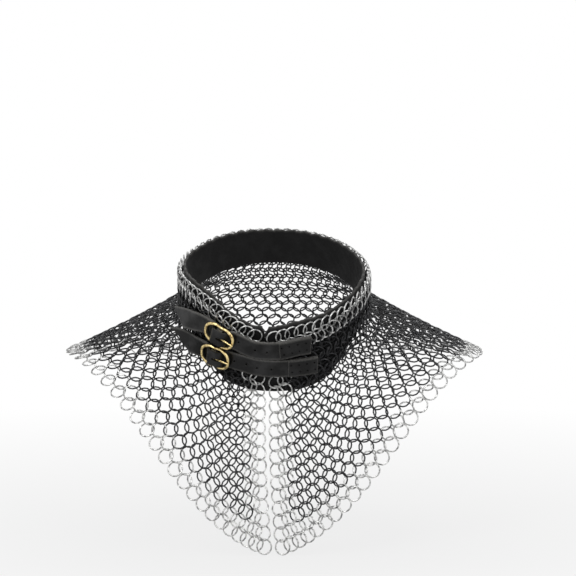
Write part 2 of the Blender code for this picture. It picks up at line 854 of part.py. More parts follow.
def waist(along):
    """How much a double-loop frame draws in beside its bar."""
    spread = BUCKLE_LENGTH * BUCKLE_WAIST_SPREAD
    return 1 - BUCKLE_WAIST_SHARE * exp(-(along / spread) ** 2)


def buckle_frame(run, material, collection, cutters):
    name = f"{run.place}_buckle_frame"
    place = buckle_place(run)
    length = (BUCKLE_LENGTH - BUCKLE_WIRE) / 2
    height = (BUCKLE_HEIGHT - BUCKLE_WIRE) / 2
    outline = []
    count = 28
    for step in range(count):
        turn = 2 * pi * step / count
        along = length * cos(turn)
        across = height * abs(sin(turn)) ** BUCKLE_ROUNDING * waist(along)
        outline.append(place @ Vector((along, across if sin(turn) >= 0 else -across, 0)))
    mesh = tube_mesh(name, outline, BUCKLE_WIRE, True)
    item = place_object(name, mesh, material, collection)
    reach = height * waist(0)
    ends = [place @ Vector((0, -reach, 0)), place @ Vector((0, reach, 0))]
    bar = tube_mesh(f"{name}_bar", ends, BAR_WIRE, False)
    use_cutter(item, make_cutter(f"{name}_bar", bar, cutters), "UNION")
    return item


def tongue(run, material, collection):
    """A wire tongue bent round the bar, its tip on the frame's right side."""
    name = f"{run.place}_buckle_tongue"
    place = buckle_place(run)
    eye = BAR_WIRE / 2 + TONGUE_ROOM + TONGUE_WIRE / 2
    points = []
    steps = 10
    for step in range(steps + 1):
        turn = TONGUE_TURN_START + TONGUE_TURN * step / steps
        points.append(Vector((eye * cos(turn), 0, eye * sin(turn))))
    rest = BUCKLE_WIRE / 2 + JOIN_GAP + TONGUE_WIRE / 2
    tip = BUCKLE_LENGTH / 2 + TONGUE_WIRE / 2
    points.append(Vector((tip / 2, 0, max(eye, rest))))
    points.append(Vector((tip, 0, rest)))
    mesh = tube_mesh(name, [place @ point for point in points], TONGUE_WIRE, False)
    return place_object(name, mesh, material, collection)


def build():
    clear_scene()
    scene = bpy.context.scene
    collection = bpy.data.collections.new("mail_collar")
    cutters = bpy.data.collections.new("cutters")
    scene.collection.children.link(collection)
    scene.collection.children.link(cutters)
    black = make_material("black_steel", (0.035, 0.036, 0.038), 0.45, 0.9)
    bright = make_material("bright_steel", (0.72, 0.73, 0.75), 0.25, 1.0)
    leather = make_material("black_leather", (0.03, 0.03, 0.032), 0.6, 0.0)
    brass = make_material("brass", (0.62, 0.45, 0.19), 0.3, 1.0)
    mail_sectors(black, collection)
    hem_rings(bright, collection, cutters)
    slit_strip("slit_rings_right", 1, bright, collection)
    slit_strip("slit_rings_left", -1, bright, collection)
    top_edge_rings(bright, collection)
    neck_liner(leather, collection)
    for run in RUNS:
        strap(run, leather, collection, cutters)
        chape(run, leather, collection, cutters)
        buckle_frame(run, brass, collection, cutters)
        tongue(run, brass, collection)


build()
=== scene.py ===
"""Mail collar: every ring of the weave, the leather neck liner and the two buckled straps."""
import bpy
from math import cos, degrees, exp, pi, radians, sin, sqrt
from mathutils import Euler, Matrix, Vector


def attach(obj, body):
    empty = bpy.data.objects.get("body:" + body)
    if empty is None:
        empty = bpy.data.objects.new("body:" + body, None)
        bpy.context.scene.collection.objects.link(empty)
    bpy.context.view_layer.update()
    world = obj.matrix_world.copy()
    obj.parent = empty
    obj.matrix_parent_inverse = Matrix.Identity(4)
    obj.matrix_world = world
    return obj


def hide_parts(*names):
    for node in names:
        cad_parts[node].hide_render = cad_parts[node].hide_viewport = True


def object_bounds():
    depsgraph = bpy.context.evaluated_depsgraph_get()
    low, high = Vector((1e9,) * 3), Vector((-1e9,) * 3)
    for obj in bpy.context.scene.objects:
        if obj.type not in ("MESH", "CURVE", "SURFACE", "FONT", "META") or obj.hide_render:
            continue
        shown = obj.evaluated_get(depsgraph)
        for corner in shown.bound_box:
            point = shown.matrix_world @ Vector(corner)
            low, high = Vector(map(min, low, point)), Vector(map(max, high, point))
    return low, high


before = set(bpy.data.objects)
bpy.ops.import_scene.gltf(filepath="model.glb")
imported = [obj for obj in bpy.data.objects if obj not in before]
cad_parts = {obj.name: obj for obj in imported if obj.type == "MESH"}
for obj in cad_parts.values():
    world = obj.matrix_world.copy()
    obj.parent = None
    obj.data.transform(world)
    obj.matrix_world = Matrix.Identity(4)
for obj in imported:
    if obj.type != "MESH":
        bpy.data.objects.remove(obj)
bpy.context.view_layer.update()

mm = 0.001

# Neck band, the sizes the solids were made to: the mail's middle, tilted down to the front
band_radius = 76 * mm
band_tilt = radians(26)
band_axis = Vector((0, -sin(band_tilt), cos(band_tilt)))
band_right = Vector((1, 0, 0))
band_front = Vector((0, -cos(band_tilt), -sin(band_tilt)))
band_front_point = Vector((0, -95.5 * mm, 15.7 * mm))
band_top = band_front_point - band_front * band_radius
mail_outside = band_radius + 1.8 * mm
liner_radius = band_radius - 3.6 * mm
bar_radius = mail_outside + 4.9 * mm

# How far the neck edge stands above the band's plane, by angle from the front, in mm
edge_rises = (
    (-180, 6.0), (-120, 10.0), (-85, 18.0), (-63, 22.0), (-50, 22.5), (-39, 19.5),
    (-28, 11.5), (-20, 6.5), (-10, 2.2), (0, 2.5), (12, 6.0), (30, 7.5),
    (50, 11.0), (73, 13.5), (90, 11.0), (120, 8.0), (180, 6.0),
)

# Height of the neck band at the back, what the front adds to it, and how wide the front is
back_height = 25 * mm
front_height = 33 * mm
front_spread = radians(52)

# Edge of the mantle, from the neck's middle, and how far it falls at the slit and the back
mantle_half_width = 169 * mm
mantle_middle = 10 * mm
front_reach = 116 * mm
back_reach = 108 * mm
shoulder_level = -8.4 * mm
front_fall = 145 * mm
back_fall = 19.6 * mm
corner_fall = 6 * mm
corner_spread = radians(6)

# How full the mail hangs between the crease under the neck band and the hem
fullness = 0.40
shoulder_fullness = 0.22
shoulder_turn = radians(68)
shoulder_spread = radians(26)
chest_pull = 6 * mm
crease_rounding = 15
band_steps = 12
mantle_steps = 24
fine_steps = 72
drape_steps = 36

# One ring, and the weave
ring_wire = 1.3 * mm
ring_middle = 5.95 * mm
ring_sides = 14
wire_sides = 5
ring_lean = radians(17)
rows = 18
edge_rows = 2
top_row_rings = 62
slit_lean = radians(-6)
first_ring = 7.7 * mm
tight_pitch = 7.2 * mm
tight_rings = 7


# The drape of the mail

def outward(angle):
    """Straight out of the neck band, by angle from the front."""
    return band_right * sin(angle) + band_front * cos(angle)


def band_point(angle, drop, radius=band_radius):
    """A place this far below the band's plane and this far from its axis."""
    return band_top - band_axis * drop + outward(angle) * radius


def band_height(angle):
    return back_height + front_height * exp(-(abs(angle) / front_spread) ** 4)


def read_off(table, turn):
    """The value that a table gives at an angle in degrees, in a straight line between its rows."""
    for (before, low), (after, high) in zip(table, table[1:]):
        if turn <= after:
            break
    return (low + (high - low) * (turn - before) / (after - before)) * mm


def edge_rise(angle):
    return read_off(edge_rises, degrees(angle))


def hem_point(angle):
    turn = abs(angle)
    if turn <= pi / 2:
        reach = front_reach
        fall = front_fall * cos(turn) ** 4 + corner_fall * exp(-turn / corner_spread)
    else:
        reach = back_reach
        fall = back_fall * cos(turn) ** 2
    return Vector((
        mantle_half_width * sin(angle), mantle_middle - reach * cos(turn), shoulder_level - fall
    ))


def evenly(line, steps):
    """The same line with its points at even distances."""
    ends = [0.0]
    for before, after in zip(line, line[1:]):
        ends.append(ends[-1] + (after - before).length)
    result = []
    at = 0
    for step in range(steps + 1):
        goal = ends[-1] * step / steps
        while at < len(line) - 2 and ends[at + 1] < goal:
            at += 1
        share = (goal - ends[at]) / (ends[at + 1] - ends[at])
        result.append(line[at].lerp(line[at + 1], share))
    return result


meridians = {}


def meridian(angle):
    """The mail's line from the neck edge over the crease to the hem, in even steps."""
    key = round(angle, 6)
    if key in meridians:
        return meridians[key]
    height = band_height(angle)
    crease = band_point(angle, height)
    hem = hem_point(angle)
    side = exp(-((abs(angle) - shoulder_turn) / shoulder_spread) ** 2)
    pull = crease.lerp(hem, 0.5)
    pull.z = crease.z + (hem.z - crease.z) * (fullness + shoulder_fullness * side)
    pull.y -= chest_pull * max(0.0, cos(angle))
    rise = edge_rise(angle)
    line = [
        band_point(angle, (height + rise) * step / band_steps - rise) for step in range(band_steps)
    ]
    for step in range(mantle_steps + 1):
        share = step / mantle_steps
        line.append(
            crease * (1 - share) ** 2 + pull * 2 * share * (1 - share) + hem * share * share
        )
    line = evenly(line, fine_steps)
    for _ in range(crease_rounding):
        inner = [
            (before + here * 2 + after) / 4
            for before, here, after in zip(line, line[1:], line[2:])
        ]
        line = [line[0]] + inner + [line[-1]]
    meridians[key] = evenly(line, drape_steps)
    return meridians[key]


def mail_point(angle, share):
    """A place on the mail, this share of the way from the neck edge to the hem."""
    swung = angle + slit_lean * (1 - share) * max(0.0, cos(angle)) ** 4
    line = meridian(swung)
    place = min(max(share, 0.0), 1.0) * drape_steps
    low = min(int(place), drape_steps - 1)
    return line[low].lerp(line[low + 1], place - low)


# Places of the rings

def row_angles(row):
    """Angles of one row's rings, from the right of the slit round the back to its left."""
    share = (row + 0.5) / rows
    steps = 480
    turns = [2 * pi * step / steps for step in range(steps + 1)]
    points = [mail_point(turn if turn <= pi else turn - 2 * pi, share) for turn in turns]
    reach = [0.0]
    for before, after in zip(points, points[1:]):
        reach.append(reach[-1] + (after - before).length)
    last = top_row_rings + row - 1
    grown = [1 - exp(-(min(ring, last - 1 - ring) / tight_rings) ** 2) for ring in range(last)]
    spare = (reach[-1] - 2 * first_ring - tight_pitch * last) / sum(grown)
    goals = [first_ring]
    for more in grown:
        goals.append(goals[-1] + tight_pitch + spare * more)
    angles = []
    at = 0
    for goal in goals:
        while at < steps - 1 and reach[at + 1] < goal:
            at += 1
        part = (goal - reach[at]) / (reach[at + 1] - reach[at])
        turn = turns[at] + (turns[at + 1] - turns[at]) * part
        angles.append(turn if turn <= pi else turn - 2 * pi)
    return angles


def ring_place(angle, share, lean):
    """The ring's middle on the mail, its axis along the cloth's normal, leaning sideways."""
    here = mail_point(angle, share)
    step = 0.02
    below = mail_point(angle, min(share + step, 1.0)) - mail_point(angle, max(share - step, 0.0))
    across = mail_point(angle + step, share) - mail_point(angle - step, share)
    down = below.normalized()
    normal = down.cross(across).normalized()
    side = normal.cross(down).normalized()
    tilt = Matrix.Rotation(lean, 3, down)
    place = (tilt @ Matrix((side, down, normal)).transposed()).to_4x4()
    place.translation = here
    return place


sectors = (
    ("front", radians(32)),
    ("breast", radians(64)),
    ("shoulder", radians(98)),
    ("blade", radians(139)),
    ("back", radians(180)),
)


def sector_of(angle):
    """The part of the mail that an angle is in, as the solids are cut."""
    side = "right" if angle >= 0 else "left"
    for place, end in sectors:
        if abs(angle) <= end:
            return f"{side}_{place}"
    return f"{side}_back"


def crease_share(angle):
    """How far down the mail the crease between the neck band and the mantle is."""
    line = meridian(angle)
    length = (line[1] - line[0]).length * drape_steps
    return (band_height(angle) + edge_rise(angle)) / length


def node_of(row, ring, count, angle):
    """The solid that a ring stands for."""
    share = (row + 0.5) / rows
    if row < edge_rows:
        return "top_edge_rings"
    if ring < edge_rows:
        return "slit_rings_right"
    if ring >= count - edge_rows:
        return "slit_rings_left"
    if row >= rows - edge_rows:
        return "hem_rings"
    if share < crease_share(angle):
        return "neck_mail_" + sector_of(angle)
    return "mantle_mail_" + sector_of(angle)


# Working in Blender

rounded_edge = radians(40)
sharp_edge = radians(50)
cutter_depth = 12 * mm
cutter_sides = 14


def deselect():
    """Leaves nothing selected."""
    bpy.ops.object.select_all(action="DESELECT")


def pick(*items):
    """Selects these objects alone."""
    deselect()
    for item in items:
        item.select_set(True)
    bpy.context.view_layer.objects.active = items[0]


def settle(item):
    """Applies the place, so the object sits at the origin."""
    pick(item)
    bpy.ops.object.transform_apply(location=True, rotation=True, scale=True)


def join_all(name, items):
    """Joins objects to one, with its place in its mesh."""
    pick(*items)
    bpy.ops.object.join()
    piece = bpy.context.view_layer.objects.active
    piece.name = name
    piece.data.name = name
    settle(piece)
    return piece


def finish_piece(piece, material, body, slot, *nodes):
    """Gives a piece its material, body and the solids that it stands for; its slot is not used."""
    piece.data.materials.clear()
    piece.data.materials.append(material)
    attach(piece, body)
    if nodes:
        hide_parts(*nodes)


def apply_modifier(item, kind, **settings):
    """Adds a modifier with these settings and applies it."""
    pick(item)
    added = item.modifiers.new(kind.lower(), kind)
    for key, value in settings.items():
        setattr(added, key, value)
    bpy.ops.object.modifier_apply(modifier=added.name)


def sheet(name, length_cuts, width_cuts):
    """A grid one metre long and wide round the origin, to be laid out and thickened."""
    deselect()
    bpy.ops.mesh.primitive_grid_add(x_subdivisions=length_cuts, y_subdivisions=width_cuts, size=1)
    item = bpy.context.active_object
    item.name = name
    item.data.name = name
    return item


def reshape(item, place):
    """Moves every corner of a mesh to where place puts it."""
    for corner in item.data.vertices:
        corner.co = place(corner.co.copy())


def smooth_by_angle(item):
    """Shades a piece smooth, apart from its sharp edges."""
    pick(item)
    bpy.ops.object.shade_smooth_by_angle(angle=sharp_edge)


def soften(item, width):
    """Rounds a piece's edges."""
    apply_modifier(
        item, "BEVEL", width=width, segments=2, limit_method="ANGLE", angle_limit=rounded_edge
    )
    smooth_by_angle(item)


def cut_out(item, cutters):
    """Takes the cutters out of a piece and removes them."""
    cutter = cutters[0] if len(cutters) == 1 else join_all("cutter", cutters)
    apply_modifier(item, "BOOLEAN", operation="DIFFERENCE", solver="EXACT", object=cutter)
    bpy.data.objects.remove(cutter, do_unlink=True)


def punch(x, y, length, width):
    """A round or long cutter for a hole in flat leather."""
    deselect()
    bpy.ops.mesh.primitive_cylinder_add(
        vertices=cutter_sides, radius=0.5, depth=1, location=(x, y, 0)
    )
    item = bpy.context.active_object
    item.scale = (length, width, cutter_depth)
    settle(item)
    return item


def mark_wear(item, amount):
    """Keeps how worn each corner is, for the leather's material."""
    wear = item.data.attributes.new("wear", "FLOAT", "POINT")
    for corner, slot in zip(item.data.vertices, wear.data):
        slot.value = min(max(amount(corner.co), 0.0), 1.0)


# Materials

def new_material(name):
    """A material, its node tree and its shader."""
    made = bpy.data.materials.new(name)
    made.use_nodes = True
    return made, made.node_tree, made.node_tree.nodes["Principled BSDF"]


def object_place(tree):
    """Each point's place in the object's own metres."""
    return tree.nodes.new("ShaderNodeTexCoord").outputs["Object"]


def cloudy(tree, scale, detail):
    """A cloudy pattern over the object, from 0 to 1."""
    cloud = tree.nodes.new("ShaderNodeTexNoise")
    cloud.inputs["Scale"].default_value = scale
    cloud.inputs["Detail"].default_value = detail
    tree.links.new(object_place(tree), cloud.inputs["Vector"])
    return cloud.outputs["Fac"]


def toned(tree, value, *stops):
    """A colour read off between two stops, each a place and a colour."""
    tint = tree.nodes.new("ShaderNodeValToRGB")
    for number, (place, colour) in enumerate(stops):
        tint.color_ramp.elements[number].position = place
        tint.color_ramp.elements[number].color = (*colour, 1)
    tree.links.new(value, tint.inputs["Fac"])
    return tint.outputs["Color"]


def spread(tree, value, low, high, first=0.0, last=1.0):
    """A value that goes from low to high while the given one goes from first to last."""
    ranged = tree.nodes.new("ShaderNodeMapRange")
    ranged.inputs["From Min"].default_value = first
    ranged.inputs["From Max"].default_value = last
    ranged.inputs["To Min"].default_value = low
    ranged.inputs["To Max"].default_value = high
    tree.links.new(value, ranged.inputs["Value"])
    return ranged.outputs["Result"]


def bumped(tree, height, strength, depth):
    """A bump node that raises the surface by a pattern."""
    bump = tree.nodes.new("ShaderNodeBump")
    bump.inputs["Strength"].default_value = strength
    bump.inputs["Distance"].default_value = depth
    tree.links.new(height, bump.inputs["Height"])
    return bump


def computed(tree, operation, first, second):
    """Two values put together by a Math node."""
    node = tree.nodes.new("ShaderNodeMath")
    node.operation = operation
    tree.links.new(first, node.inputs[0])
    tree.links.new(second, node.inputs[1])
    return node.outputs["Value"]


def wire(name, scale, detail, stops, roughness, metallic, marks=None):
    """Metal wire, clouded between two tones, with small marks where their depth is given."""
    made, tree, shader = new_material(name)
    cloud = cloudy(tree, scale, detail)
    tree.links.new(toned(tree, cloud, *stops), shader.inputs["Base Color"])
    tree.links.new(spread(tree, cloud, *roughness), shader.inputs["Roughness"])
    if marks:
        tree.links.new(bumped(tree, cloud, *marks).outputs["Normal"], shader.inputs["Normal"])
    shader.inputs["Metallic"].default_value = metallic
    return made


smear_and_sheen_scale = 75
scuff_scale = 700
grain_scale = 1300
grain_depth = 0.12 * mm
dent_depth = 0.5 * mm


def leather(name, dark, pale, edge, roughness):
    """Black leather: fine grain, soft smears whose pale patches are partly painted sheen, and pale
    edges where it is marked as worn.
    """
    made, tree, shader = new_material(name)
    smear_and_sheen = cloudy(tree, smear_and_sheen_scale, 5)
    scuff = cloudy(tree, scuff_scale, 3)
    # Smears from the dark tone to the pale one: real blotches, and their pale patches are partly
    # painted sheen standing in for highlights on the leather
    tint = toned(
        tree, smear_and_sheen, (0.44, (dark, dark, dark * 1.04)), (0.66, (pale, pale, pale * 1.02))
    )
    wear = tree.nodes.new("ShaderNodeAttribute")
    wear.attribute_name = "wear"
    colour = tree.nodes.new("ShaderNodeMix")
    colour.data_type = "RGBA"
    tree.links.new(computed(tree, "MULTIPLY", wear.outputs["Fac"], scuff), colour.inputs[0])
    tree.links.new(tint, colour.inputs[6])
    colour.inputs[7].default_value = (edge, edge * 0.97, edge * 0.92, 1)
    tree.links.new(colour.outputs[2], shader.inputs["Base Color"])
    grain = tree.nodes.new("ShaderNodeTexVoronoi")
    grain.inputs["Scale"].default_value = grain_scale
    tree.links.new(object_place(tree), grain.inputs["Vector"])
    fine = bumped(tree, grain.outputs["Distance"], 0.25, grain_depth)
    dents = bumped(tree, smear_and_sheen, 0.35, dent_depth)
    tree.links.new(fine.outputs["Normal"], dents.inputs["Normal"])
    tree.links.new(dents.outputs["Normal"], shader.inputs["Normal"])
    rough = spread(tree, scuff, roughness - 0.08, roughness + 0.14)
    tree.links.new(rough, shader.inputs["Roughness"])
    shader.inputs["Specular IOR Level"].default_value = 0.22
    return made


black_wire_finish = wire(
    "black_wire", scale=260, detail=4, roughness=(0.2, 0.4), metallic=0.85,
    stops=((0.35, (0.014, 0.014, 0.015)), (0.75, (0.07, 0.071, 0.074))),
)
# Bright zinc wire whose tone varies at random; the strong contrast between its dark and light grey is
# painted reflection, standing in for the reflections along each ring
bright_wire_painted_reflection = wire(
    "bright_wire", scale=420, detail=5, roughness=(0.27, 0.42), metallic=1.0,
    stops=((0.38, (0.19, 0.19, 0.19)), (0.62, (0.64, 0.64, 0.63))),
)
brass_finish = wire(
    "brass_wire", scale=480, detail=5, roughness=(0.42, 0.22), metallic=1.0,
    stops=((0.3, (0.16, 0.09, 0.03)), (0.53, (0.80, 0.64, 0.31))), marks=(0.3, 0.15 * mm),
)
# pale sets the pale patches of the smears, which are partly painted sheen
strap_finish = leather("strap_leather", dark=0.002, pale=0.026, edge=0.18, roughness=0.29)
patch_finish = leather("patch_leather", dark=0.002, pale=0.014, edge=0.14, roughness=0.34)
liner_finish = leather("liner_leather", dark=0.003, pale=0.010, edge=0.06, roughness=0.66)
thong_finish = leather("waxed_thong", dark=0.002, pale=0.008, edge=0.02, roughness=0.7)


# Rings

def model_ring():
    """One butted ring, closed up, modelled once and copied."""
    deselect()
    bpy.ops.mesh.primitive_torus_add(
        major_segments=ring_sides, minor_segments=wire_sides,
        major_radius=ring_middle, minor_radius=ring_wire / 2,
    )
    ring = bpy.context.active_object
    ring.name = "one_ring"
    bpy.ops.object.shade_smooth()
    return ring


def weave_rings():
    """Every ring in its place, joined to one piece for each solid that it stands for."""
    ring = model_ring()
    groups = {}
    for row in range(rows):
        share = (row + 0.5) / rows
        angles = row_angles(row)
        lean = ring_lean if (rows - 1 - row) % 2 == 0 else -ring_lean
        for number, angle in enumerate(angles):
            copy = ring.copy()
            copy.data = ring.data.copy()
            copy.matrix_world = ring_place(angle, share, lean)
            bpy.context.collection.objects.link(copy)
            groups.setdefault(node_of(row, number, len(angles), angle), []).append(copy)
    bpy.data.objects.remove(ring, do_unlink=True)
    for node, rings in groups.items():
        piece = join_all("rings_" + node, rings)
        bright = node.startswith(("top", "slit", "hem"))
        finish = bright_wire_painted_reflection if bright else black_wire_finish
        slot = "bright_rings" if bright else "black_rings"
        finish_piece(piece, finish, "collar", slot, node)


weave_rings()


# Leather straps

strap_width = 15.4 * mm
strap_thick = 1.8 * mm
strap_cuts = 150
width_cuts = 8
strap_room = 0.8 * mm
strap_bevel = 0.28 * mm
ragged_edge = 0.12 * mm
patch_lengths = {"upper": 25.6 * mm, "lower": 24.2 * mm}
patch_thick = 0.9 * mm
patch_cuts = 26
patch_bevel = 0.22 * mm
patch_inset = 0.25 * mm
patch_room = 0.02 * mm
worn_rim = 0.7 * mm
worn_patch_rim = 0.9 * mm
worn_hole = 0.15

# Under and beside the buckle the strap is squeezed narrower, and its edges bend down
squeeze = 0.12
squeeze_reach = 9 * mm
squeeze_fade = 4.5 * mm
edge_dip = 0.9 * mm
dip_reach = 7 * mm

# The hump of the strap over the bar and the tongue, towards its right end and its tail
hump_flat = 3.2 * mm
hump_reach = 9.8 * mm
hump_reach_left = 8.8 * mm
chape_lift_share = 0.6
chape_lift_room = 0.2 * mm

# Tail: it twists away from the neck from twist_start on
tail_twist = radians(24)
twist_start = radians(-44)
twist_turn = radians(14)
twist_shift = 0.18
tail_share = 0.2

# The bar climbs with the neck band's slope from climb_start on
climb_start = radians(-8.3)
climb_turn = radians(33.3)
small_turn = radians(0.5)

# Holes
tongue_slot = (4.5 * mm, 9.4 * mm, 2.5 * mm)
punched = 1.9 * mm
lace_hole = 1.3 * mm
patch_lace_hole = 1.4 * mm
lace_rows = (3.1 * mm, -3.3 * mm)
laces_a_row = 4
lace_start = 2.2 * mm
lace_pitch = 6.3 * mm
lace_shift = 0.9 * mm
thong_radius = 0.55 * mm
thong_length = 1.9 * mm
thong_sunk = 0.1 * mm
thong_bevel = 0.15 * mm
thong_wear = 0.3

# Buckle wire, and the chape that holds it
bar_wire = 2.0 * mm
frame_wire = 2.5 * mm
tongue_wire = 1.6 * mm
tongue_room = 0.3 * mm
chape_thick = 1.1 * mm
chape_room = 0.75 * mm
chape_width = 13.2 * mm
chape_length = 17 * mm
chape_pinch = 2.6 * mm
chape_end = 1.65
chape_slot_width = 4.4 * mm
chape_slot_room = 0.3 * mm
chape_bevel = 0.2 * mm
chape_worn_rim = 0.8 * mm
roll_start = radians(-62)
roll_turn = radians(198)


def eased(value):
    """From 0 to 1 with a soft start and end."""
    value = min(max(value, 0.0), 1.0)
    return value * value * (3 - 2 * value)


class StrapWay:
    """The way of one strap round the neck, from its right end over the buckle's bar to its tail.

    Lengths are given in mm and turns in degrees from the front. Levels are how far the strap's
    middle is below the band's plane, and holes are a turn and a distance across the strap.
    """

    def __init__(self, name, drop, climb, raised, buckle, ends, leaves, levels, slant, sag, holes):
        self.name = name
        self.drop = drop * mm
        self.climb = climb * mm
        self.raised = raised * mm
        self.buckle = radians(buckle)
        self.leaves = radians(leaves)
        self.levels = levels
        self.slant = slant * mm
        self.sag, self.sag_power = sag
        self.holes = holes
        count = 420
        first, self.tail_end = radians(ends[0]), radians(ends[1])
        self.angles = [first + (self.tail_end - first) * step / count for step in range(count + 1)]
        points = [self.point(angle) for angle in self.angles]
        self.reach = [0.0]
        for before, after in zip(points, points[1:]):
            self.reach.append(self.reach[-1] + (after - before).length)
        self.length = self.reach[-1]
        self.bar = self.distance(self.buckle)

    def buckle_level(self, angle):
        climbed = self.climb * eased((climb_start - angle) / climb_turn)
        return self.drop - self.raised - climbed

    def level(self, angle):
        turn = degrees(angle)
        return sum(read_off(self.levels, turn + away) for away in (-3, -1.5, 0, 1.5, 3)) / 5

    def radius(self, angle):
        """How far the strap's middle layer is from the band's axis."""
        along = (angle - self.buckle) * bar_radius
        base = mail_outside + strap_room + strap_thick / 2
        lift = (chape_thick + chape_lift_room) * eased(-along / (hump_reach * chape_lift_share))
        top = bar_radius + bar_wire / 2 + 2 * tongue_room + tongue_wire + strap_thick / 2
        reach = hump_reach if along > 0 else hump_reach_left
        fall = eased((abs(along) - hump_flat) / (reach - hump_flat))
        return base + lift + (top - base - lift) * (1 - fall)

    def point(self, angle):
        """The strap's middle at this turn; the tail leaves the neck straight on and sags."""
        if angle >= self.leaves:
            return band_point(angle, self.level(angle), self.radius(angle))
        away = band_right * cos(self.leaves) - band_front * sin(self.leaves)
        gone = (self.leaves - angle) / (self.leaves - self.tail_end)
        start = self.point(self.leaves)
        sunk = band_axis * self.sag * mm * max(gone, 0.0) ** self.sag_power
        return start - away * (self.leaves - angle) * self.radius(self.leaves) - sunk

    def frame(self, distance):
        """The middle of the strap this far from its right end, and its three directions."""
        distance = min(max(distance, 0.0), self.length)
        low, high = 0, len(self.reach) - 1
        while high - low > 1:
            middle = (low + high) // 2
            if self.reach[middle] <= distance:
                low = middle
            else:
                high = middle
        part = (distance - self.reach[low]) / (self.reach[high] - self.reach[low])
        angle = self.angles[low] + (self.angles[high] - self.angles[low]) * part
        along = (self.point(angle + small_turn) - self.point(angle - small_turn)).normalized()
        across = outward(max(angle, self.leaves)).cross(along).normalized()
        twist = tail_twist * eased((twist_start - angle) / twist_turn)
        across.rotate(Matrix.Rotation(-twist, 3, along))
        out = along.cross(across)
        place = self.point(angle) + out * sin(twist) * strap_width * twist_shift
        return place, along, across, out

    def bend(self, corner):
        """Puts a corner of the flat strap, whose right end is at x = 0, on the strap's way."""
        point, along, across, out = self.frame(-corner.x)
        beyond = max(corner.x, 0.0)
        near = 1 - eased(abs(corner.x + self.bar) / dip_reach)
        sunk = edge_dip * near * (corner.y * 2 / strap_width) ** 2
        return point + along * beyond + across * corner.y + out * (corner.z - sunk)

    def distance(self, angle):
        """How far an angle is from the strap's right end."""
        for here, reach in zip(self.angles, self.reach):
            if here <= angle:
                return reach
        return self.length


ways = (
    StrapWay(
        "upper", drop=14.0, climb=11.2, raised=0.9, buckle=-31.7, ends=(21.3, -71.4), leaves=-54,
        levels=((-54, 3.7), (-50, 2.0), (-45, 0.4), (-42, 0.4), (-31.7, 4.1), (-24, 6.6),
                (-18, 9.4), (-12, 12.7), (-5, 12.9), (5, 12.6), (10, 10.8), (15.5, 9.8),
                (21.3, 10.2)),
        slant=17, sag=(8.2, 1.1), holes=((-20.5, 0.9), (-10.7, 0.1), (-4.0, -1.1)),
    ),
    StrapWay(
        "lower", drop=28.9, climb=1.5, raised=2.0, buckle=-34.7, ends=(25.4, -69.4), leaves=-43,
        levels=((-50, 24.6), (-45, 24.6), (-42, 24.2), (-34.7, 24.9), (-28, 25.4), (-24, 26.0),
                (-18, 26.5), (-12, 28.3), (-5, 29.0), (10, 29.3), (15.5, 29.4), (25.4, 30.0)),
        slant=24, sag=(4.0, 5), holes=((-23.0, 0.2), (-15.9, 0.6), (-9.6, -0.5), (-1.4, -0.6)),
    ),
)


def lace_places(way):
    """The holes that tie a strap's right end to the mail, as places on the flat strap."""
    start = -patch_lengths[way.name] + lace_start
    return [
        (start + lace_pitch * number + lace_shift * row, across)
        for row, across in enumerate(lace_rows) for number in range(laces_a_row)
    ]


def model_strap(way):
    """A strap with its ragged edges, slanted tail, tongue slot, punched holes and lace holes."""
    item = sheet(f"{way.name}_strap_leather", strap_cuts, width_cuts)
    bar = -way.bar

    def lay(corner):
        along = -(0.5 - corner.x) * way.length
        beside = 1 - eased((abs(along - bar) - squeeze_reach) / squeeze_fade)
        across = corner.y * strap_width * (1 - squeeze * beside)
        tail = (-along - way.length * (1 - tail_share)) / (way.length * tail_share)
        shorter = way.slant * (0.5 - corner.y) * eased(tail)
        ragged = ragged_edge * sin(along * 700 + 3 * sin(along * 210))
        return Vector((along + shorter, across + ragged * corner.y * 2, 0))

    reshape(item, lay)
    apply_modifier(item, "SOLIDIFY", thickness=strap_thick, offset=0)
    slot_middle, slot_length, slot_width = tongue_slot
    round_holes = []
    for angle, across in way.holes:
        round_holes.append((-way.distance(radians(angle)), across * mm, punched))
    for along, across in lace_places(way):
        round_holes.append((along, across, lace_hole))
    cutters = [punch(bar + slot_middle, 0.0, slot_length, slot_width)]
    for along, across, width in round_holes:
        cutters.append(punch(along, across, width, width))
    cut_out(item, cutters)
    soften(item, strap_bevel)

    def worn(corner):
        rim = min(strap_width / 2 - abs(corner.y), -corner.x, corner.x + way.length)
        amount = 1 - rim / worn_rim
        for along, across, width in round_holes:
            away = sqrt((corner.x - along) ** 2 + (corner.y - across) ** 2) - width / 2
            amount = max(amount, worn_hole - away / worn_rim)
        return amount

    mark_wear(item, worn)
    reshape(item, way.bend)
    finish_piece(item, strap_finish, "collar", "strap_leather", f"{way.name}_strap")


def model_patch(way):
    """The second layer of leather on a strap's right end, laced to the mail through both."""
    length = patch_lengths[way.name]
    width = strap_width - 2 * patch_inset
    item = sheet(f"{way.name}_strap_patch", patch_cuts, width_cuts)
    reshape(item, lambda corner: Vector(((corner.x - 0.5) * length, corner.y * width, 0)))
    apply_modifier(item, "SOLIDIFY", thickness=patch_thick, offset=0)
    cut_out(item, [
        punch(along, across, patch_lace_hole, patch_lace_hole) for along, across in lace_places(way)
    ])
    soften(item, patch_bevel)

    def worn(corner):
        rim = min(width / 2 - abs(corner.y), -corner.x, corner.x + length)
        return 1 - rim / worn_patch_rim

    mark_wear(item, worn)
    above = Vector((0, 0, strap_thick / 2 + patch_thick / 2 + patch_room))
    reshape(item, lambda corner: way.bend(corner + above))
    finish_piece(item, patch_finish, "collar", "strap_leather")


